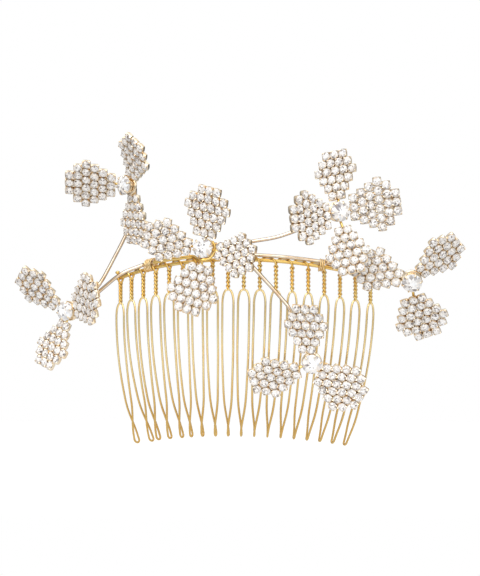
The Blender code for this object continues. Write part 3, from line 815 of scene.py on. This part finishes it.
def stone_shape(radius, table, crown, depth, cuts):
    """A round brilliant. The table is cut into the wedges that its back shows through it."""
    rings = ((TABLE_STAR * table, crown, cuts, 0.5), (table, crown, cuts, 0.0),
             (CROWN_STAR * (radius + table), CROWN_STAR_LEVEL * crown, cuts, 0.5),
             (radius, 0.0, 2 * cuts, 0.0), (radius, -GIRDLE_HEIGHT * radius, 2 * cuts, 0.0))
    verts = [(0.0, 0.0, crown)]
    starts = []
    for reach, level, count, phase in rings:
        starts.append(len(verts))
        for corner in range(count):
            angle = 2 * math.pi * (corner + phase) / count
            verts.append((reach * math.cos(angle), reach * math.sin(angle), level))
    verts.append((0.0, 0.0, -depth))
    point = len(verts) - 1
    inner, table_ring, star_ring, girdle, lower = starts
    faces, kinds = [], []

    def add(kind, *corners):
        faces.append(corners)
        kinds.append(kind)

    for k in range(cuts):
        ahead = (k + 1) % cuts
        last = (k - 1) % cuts
        add("middle", 0, inner + k, inner + ahead)
        add("wedge", inner + k, table_ring + k, table_ring + ahead)
        add("wedge", inner + k, table_ring + ahead, inner + ahead)
        add("star", table_ring + k, star_ring + k, table_ring + ahead)
        add("kite", table_ring + k, star_ring + last, girdle + 2 * k, star_ring + k)
        add("rim", star_ring + k, girdle + 2 * k, girdle + 2 * k + 1)
        add("rim", star_ring + k, girdle + 2 * k + 1, girdle + (2 * k + 2) % (2 * cuts))
    for k in range(2 * cuts):
        ahead = (k + 1) % (2 * cuts)
        add("edge", girdle + k, lower + k, lower + ahead, girdle + ahead)
        add("back", lower + k, point, lower + ahead)
    return verts, faces, kinds


def cup_section(angle):
    """The cup's wall in one direction, from its foot to its inner floor, as (reach, height).

    At the corners the rim rises into a claw that leans over the stone.
    """
    square = 1.0 / max(abs(math.cos(angle)), abs(math.sin(angle)))
    reach = CUP_HALF_SIDE * (1 - CUP_SQUARENESS + CUP_SQUARENESS * square)
    corner = abs(math.sin(2 * angle)) ** CUP_CORNER_POWER
    lean, level, rise = CUP_RIM
    inner_lean, inner_level, inner_rise = CUP_INNER_RIM
    return ((reach * CUP_FOOT_SHARE, -CUP_DEPTH),
            (reach, -CUP_WAIST),
            (reach * (1 - lean * corner), level + rise * corner),
            (reach * (1 - inner_lean * corner) - CUP_WALL, inner_level + inner_rise * corner),
            (reach * CUP_INNER_SHARE, -CUP_DEPTH * CUP_INNER_DEPTH))


def cup_shape():
    """A square cup with thin walls and four claws."""
    angles = [2 * math.pi * sample / CUP_SAMPLES for sample in range(CUP_SAMPLES)]
    sections = [cup_section(angle) for angle in angles]
    rings = len(sections[0])
    verts = [(section[ring][0] * math.cos(angle), section[ring][0] * math.sin(angle), section[ring][1])
             for ring in range(rings) for angle, section in zip(angles, sections)]
    return verts, ringed_faces(rings, CUP_SAMPLES)


def paint_facet_reflections(piece, kinds, source):
    """Give each facet its own painted reflection: a tone and a tint."""
    reflection_tones, reflection_tints = [], []
    for kind in kinds:
        dark_share, low, high = FACET_REFLECTION_LUCK[kind]
        dark = source.random() < dark_share
        reflection_tones.append(source.uniform(*DARK_REFLECTION_TONES) if dark else source.uniform(low, high))
        reflection_tints.append(source.random())
    for name, values in (("tone", reflection_tones), ("reflection_tint", reflection_tints)):
        attribute = piece.data.attributes.new(name, "FLOAT", "FACE")
        attribute.data.foreach_set("value", values)


# ---- petals ----

def plate_normals(mesh):
    """The directions that a CAD plate's faces look in, the largest faces first."""
    areas = {}
    for face in mesh.polygons:
        key = tuple(round(c, 2) + 0.0 for c in face.normal)
        areas.setdefault(key, [0.0, Vector()])
        areas[key][0] += face.area
        areas[key][1] += face.normal * face.area
    ranked = sorted(areas.values(), key=lambda item: -item[0])
    return [item[1].normalized() for item in ranked]


def stones_in_row(spans, start, pitch):
    """How many stones fit the step of a CAD plate that runs from start over one row's pitch."""
    def edges(place):
        return [across for along, across, _ in spans if abs(along - place) < 0.1 * pitch]

    far_edges = edges(start + pitch)
    shared = [edge for edge in edges(start) if any(abs(edge - far) < 0.02 * MM for far in far_edges)]
    return round(2 * max(abs(edge) for edge in shared) / STONE_PITCH)


def petal_layout(node, flower_centre):
    """Placement of a petal, its stones in each row and the rows' pitch, read from its CAD plate."""
    mesh = frame["nodes"][node].data
    normals = plate_normals(mesh)
    face_out = next(n for n in normals if n.dot(TOWARD) > 0)
    centre = sum((v.co for v in mesh.vertices), Vector()) / len(mesh.vertices)
    outward = (centre - flower_centre).normalized()
    sides = [n for n in normals if abs(n.dot(face_out)) < 0.1]
    tip = max(sides, key=lambda n: n.dot(outward))
    across = face_out.cross(tip).normalized()
    axes = (tip, across, face_out)
    spans = [tuple((v.co - centre).dot(axis) for axis in axes) for v in mesh.vertices]
    low = [min(values) for values in zip(*spans)]
    high = [max(values) for values in zip(*spans)]
    pitch = (high[0] - low[0]) / ROW_COUNT
    rows = [stones_in_row(spans, low[0] + row * pitch, pitch) for row in range(ROW_COUNT)]
    middle = centre + tip * (low[0] + high[0]) / 2 + face_out * (low[2] + high[2]) / 2
    return Matrix.Translation(middle) @ Matrix(axes).transposed().to_4x4(), rows, pitch


def petal_seats(matrix, rows, pitch, source):
    """The place of each cup, a little out of line as hand-set work is, and of the stone in it."""
    for row, count in enumerate(rows):
        x = (row - (ROW_COUNT - 1) / 2) * pitch
        for index in range(count):
            y = (index - (count - 1) / 2) * STONE_PITCH
            shift = Vector([source.gauss(0, spread) for spread in SEAT_SHIFT]) * MM
            tilt = Matrix.Rotation(source.gauss(0, SEAT_TILT), 4, "X") @ Matrix.Rotation(
                source.gauss(0, SEAT_TILT), 4, "Y")
            seat = matrix @ Matrix.Translation(Vector((x, y, GIRDLE_LEVEL)) + shift) @ tilt
            yield seat, seat @ Matrix.Rotation(source.uniform(0, math.pi / 4), 4, "Z")


def add_petal_bars(cups, matrix, rows, pitch):
    """A bar behind each row of cups, and two ribs that join the bars."""
    for row, count in enumerate(rows):
        x = (row - (ROW_COUNT - 1) / 2) * pitch
        half = (count - BAR_SHORTFALL) * STONE_PITCH / 2
        cups.add(box_shape((x - BAR_HALF_WIDTH, -half, BAR_LEVELS[0]),
                           (x + BAR_HALF_WIDTH, half, BAR_LEVELS[1])), matrix)
    for y in (-0.5 * STONE_PITCH, 0.5 * STONE_PITCH):
        cups.add(box_shape((-RIB_ROWS * pitch, y - RIB_HALF_WIDTH, RIB_LEVELS[0]),
                           (RIB_ROWS * pitch, y + RIB_HALF_WIDTH, RIB_LEVELS[1])), matrix)


def petal_tab(matrix, pitch, flower_centre, flower_axis):
    """The soldered tab that holds a petal to its flower."""
    base = matrix @ Vector((-TAB_ROWS * pitch, 0.0, TAB_LEVEL))
    inner = flower_centre - flower_axis * TAB_DROP
    inner += (base - inner).normalized() * TAB_START
    return tube([inner, (inner + base) / 2 + flower_axis * TAB_BOW, base], TAB_RADIUS, 8)


def make_petal(node, body, flower_centre, flower_axis):
    """One petal: a piece of cups, bars and its tab, and a piece of stones."""
    matrix, rows, pitch = petal_layout(node, flower_centre)
    source = random.Random(node)
    cups, stones = Cluster(), Cluster()
    cup = cup_shape()
    stone = stone_shape(STONE_RADIUS, STONE_TABLE * STONE_RADIUS, STONE_CROWN * STONE_RADIUS,
                        STONE_DEPTH * STONE_RADIUS, STONE_CUTS)
    for seat, stone_seat in petal_seats(matrix, rows, pitch, source):
        cups.add(cup, seat)
        stones.add(stone, stone_seat)
    add_petal_bars(cups, matrix, rows, pitch)
    tab_start = len(cups.faces)
    cups.add(petal_tab(matrix, pitch, flower_centre, flower_axis), Matrix())
    name = node.replace("_petal_", "_")
    piece = new_piece(name + "_cups", cups.verts, cups.faces, [CUP_METAL, PAINTED_AMBER], body,
                      smooth=False, replaces=[node])
    # The tab takes the painted amber.
    for face in piece.data.polygons[tab_start:]:
        face.material_index = 1
    piece = new_piece(name + "_stones", stones.verts, stones.faces, [STONE], body,
                      smooth=False)
    paint_facet_reflections(piece, stones.kinds, source)


# ---- flower middles ----

def make_plate(letter, body, matrix):
    """The round plate behind a flower's middle stone."""
    group = Cluster()
    group.add(lathe(PLATE_PROFILE, MIDDLE_SIDES), matrix)
    new_piece(f"flower_{letter}_plate", group.verts, group.faces, [CUP_METAL], body,
              replaces=[f"flower_{letter}_base_disc"])


def make_claws(letter, body, matrix):
    """The collar under the middle stone and its claws."""
    group = Cluster()
    group.add(lathe(COLLAR_PROFILE, MIDDLE_SIDES), matrix)
    for claw in range(CLAW_COUNT):
        angle = 2 * math.pi * claw / CLAW_COUNT + CLAW_TURN
        out = Vector((math.cos(angle), math.sin(angle), 0.0))
        line = [(out * reach + UP * height) * MM for reach, height in CLAW_PROFILE]
        group.add(tube(catmull(line, 3), CLAW_RADIUS, 8), matrix)
    new_piece(f"flower_{letter}_claws", group.verts, group.faces, [CUP_METAL], body,
              replaces=[f"flower_{letter}_claw_setting"])


def make_gem(letter, body, matrix):
    """A flower's large middle stone."""
    node = f"flower_{letter}_centre_stone"
    group = Cluster()
    group.add(stone_shape(CENTRE_RADIUS, CENTRE_TABLE, CENTRE_CROWN, CENTRE_DEPTH, CENTRE_CUTS), matrix)
    piece = new_piece(f"flower_{letter}_gem", group.verts, group.faces, [CENTRE], body,
                      smooth=False, replaces=[node])
    paint_facet_reflections(piece, group.kinds, random.Random(node))


def make_flower(letter, body, petals):
    """One flower, placed by its CAD disc and middle stone."""
    disc_centre = cad_middle(f"flower_{letter}_base_disc")
    axis = (cad_middle(f"flower_{letter}_centre_stone") - disc_centre).normalized()
    centre = disc_centre + axis * CENTRE_LEVEL
    matrix = Matrix.Translation(centre) @ axis.to_track_quat("Z", "Y").to_matrix().to_4x4()
    make_plate(letter, body, matrix)
    make_claws(letter, body, matrix)
    make_gem(letter, body, matrix)
    for node in petals:
        make_petal(node, body, centre, axis)


def make_flowers():
    """Every flower, on the body that carries it."""
    for body, nodes in frame["record"]["behaviour"]["bodies"].items():
        letters = sorted({node.split("_")[1] for node in nodes if node.startswith("flower_")})
        for letter in letters:
            petals = [node for node in nodes if node.startswith(f"flower_{letter}_petal_")]
            make_flower(letter, body, petals)


# ---- stage ----

def floor_material():
    """Pale grey that melts into the white surroundings and glows a little more for the camera."""
    material, tree, shader = new_material("floor_pale")
    shader.inputs["Base Color"].default_value = (*grey(FLOOR_GREY), 1.0)
    shader.inputs["Emission Color"].default_value = (*grey(1.0), 1.0)
    shader.inputs["Roughness"].default_value = 0.9
    sight = add_node(tree, "ShaderNodeLightPath")
    glow = map_range(tree, sight.outputs["Is Camera Ray"], (0.0, 1.0), FLOOR_GLOW)
    tree.links.new(glow, shader.inputs["Emission Strength"])
    place = add_node(tree, "ShaderNodeTexCoord")
    length = add_node(tree, "ShaderNodeVectorMath", operation="LENGTH")
    tree.links.new(place.outputs["Object"], length.inputs[0])
    clear = add_node(tree, "ShaderNodeBsdfTransparent")
    mix = add_node(tree, "ShaderNodeMixShader")
    tree.links.new(map_range(tree, length.outputs["Value"], FLOOR_FADE), mix.inputs["Fac"])
    tree.links.new(shader.outputs["BSDF"], mix.inputs[1])
    tree.links.new(clear.outputs["BSDF"], mix.inputs[2])
    tree.links.new(mix.outputs["Shader"], tree.nodes["Material Output"].inputs["Surface"])
    return material


def make_floor():
    """A wide floor just below the tips."""
    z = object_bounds()[0][2] - FLOOR_DROP
    reach = FLOOR_HALF_SIDE
    mesh = bpy.data.meshes.new("floor")
    mesh.from_pydata([(-reach, -reach, z), (reach, -reach, z), (reach, reach, z), (-reach, reach, z)],
                     [], [(0, 1, 2, 3)])
    mesh.materials.append(floor_material())
    floor = bpy.data.objects.new("floor", mesh)
    bpy.context.scene.collection.objects.link(floor)


def studio_light(tree):
    """A pale studio with dark flags at the sides, dimmer at the back and below."""
    place = add_node(tree, "ShaderNodeTexCoord")
    turn = add_node(tree, "ShaderNodeMapping")
    turn.inputs["Rotation"].default_value = (0.0, 0.0, -SPRAY_TURN)
    split = add_node(tree, "ShaderNodeSeparateXYZ")
    tree.links.new(place.outputs["Generated"], turn.inputs["Vector"])
    tree.links.new(turn.outputs["Vector"], split.inputs["Vector"])
    strips = colour_ramp(tree, map_range(tree, split.outputs["X"], (-1.0, 1.0)), (
        (0.0, grey(0.5)), (0.14, (0.2, 0.17, 0.14)), (0.26, grey(1.0)), (0.5, grey(0.85)),
        (0.66, grey(1.0)), (0.80, (0.18, 0.16, 0.14)), (0.92, grey(0.8)), (1.0, grey(0.45))))
    back = map_range(tree, split.outputs["Y"], (-0.1, 0.9), (1.0, 0.35))
    height = colour_ramp(tree, map_range(tree, split.outputs["Z"], (-1.0, 1.0)), (
        (0.0, grey(0.5)), (0.25, (0.16, 0.15, 0.13)), (0.42, (0.26, 0.25, 0.23)),
        (0.52, grey(0.68)), (0.9, grey(1.0))))
    lift = add_node(tree, "ShaderNodeMath", operation="MULTIPLY")
    lift.inputs[1].default_value = STUDIO_BRIGHTNESS
    tree.links.new(height, lift.inputs[0])
    studio = add_node(tree, "ShaderNodeBackground")
    tree.links.new(strips, studio.inputs["Color"])
    tree.links.new(multiply(tree, back, lift.outputs["Value"]), studio.inputs["Strength"])
    return studio.outputs["Background"]


def make_world():
    """White to the camera. Everything else sees the studio."""
    world = bpy.data.worlds.new("studio")
    bpy.context.scene.world = world
    world.use_nodes = True
    tree = world.node_tree
    tree.nodes.clear()
    white = add_node(tree, "ShaderNodeBackground", Color=(*grey(1.0), 1.0), Strength=1.0)
    path = add_node(tree, "ShaderNodeLightPath")
    mix = add_node(tree, "ShaderNodeMixShader")
    output = add_node(tree, "ShaderNodeOutputWorld")
    tree.links.new(path.outputs["Is Camera Ray"], mix.inputs["Fac"])
    tree.links.new(studio_light(tree), mix.inputs[1])
    tree.links.new(white.outputs["Background"], mix.inputs[2])
    tree.links.new(mix.outputs["Shader"], output.inputs["Surface"])


def add_light(name, ahead, right, above, size, power):
    """A soft light that faces the middle of the comb."""
    target = (Vector(CAD_BOX[0]) + Vector(CAD_BOX[1])) / 2
    place = target + TOWARD * ahead + RIGHT * right + UP * above
    light = bpy.data.lights.new(name, "AREA")
    light.shape = "RECTANGLE"
    light.size, light.size_y = size
    light.energy = power
    lamp = bpy.data.objects.new(name, light)
    lamp.location = place
    lamp.rotation_euler = (place - target).to_track_quat("Z", "Y").to_euler()
    bpy.context.scene.collection.objects.link(lamp)


def make_camera():
    """A long lens level with the comb, square to the plane of the flowers."""
    camera = bpy.data.cameras.new("camera")
    camera.lens = LENS
    camera.sensor_width = SENSOR
    camera.clip_end = 20.0
    eye = bpy.data.objects.new("camera", camera)
    aim = ROD_MIDDLE + RIGHT * AIM_RIGHT - UP * AIM_DOWN
    eye.location = aim + TOWARD * VIEW_HEIGHT * LENS / SENSOR
    eye.rotation_euler = (eye.location - aim).to_track_quat("Z", "Y").to_euler()
    bpy.context.scene.collection.objects.link(eye)
    bpy.context.scene.camera = eye
    bpy.context.scene.view_settings.view_transform = "Standard"


make_rod()
make_teeth()
make_coil("coil_left", "binding_coil_left", **LEFT_COIL)
make_coil("coil_right", "binding_coil_right", **RIGHT_COIL)
make_stems()
make_flowers()
make_floor()
make_world()
add_light("key", **KEY_LIGHT)
add_light("fill", **FILL_LIGHT)
make_camera()
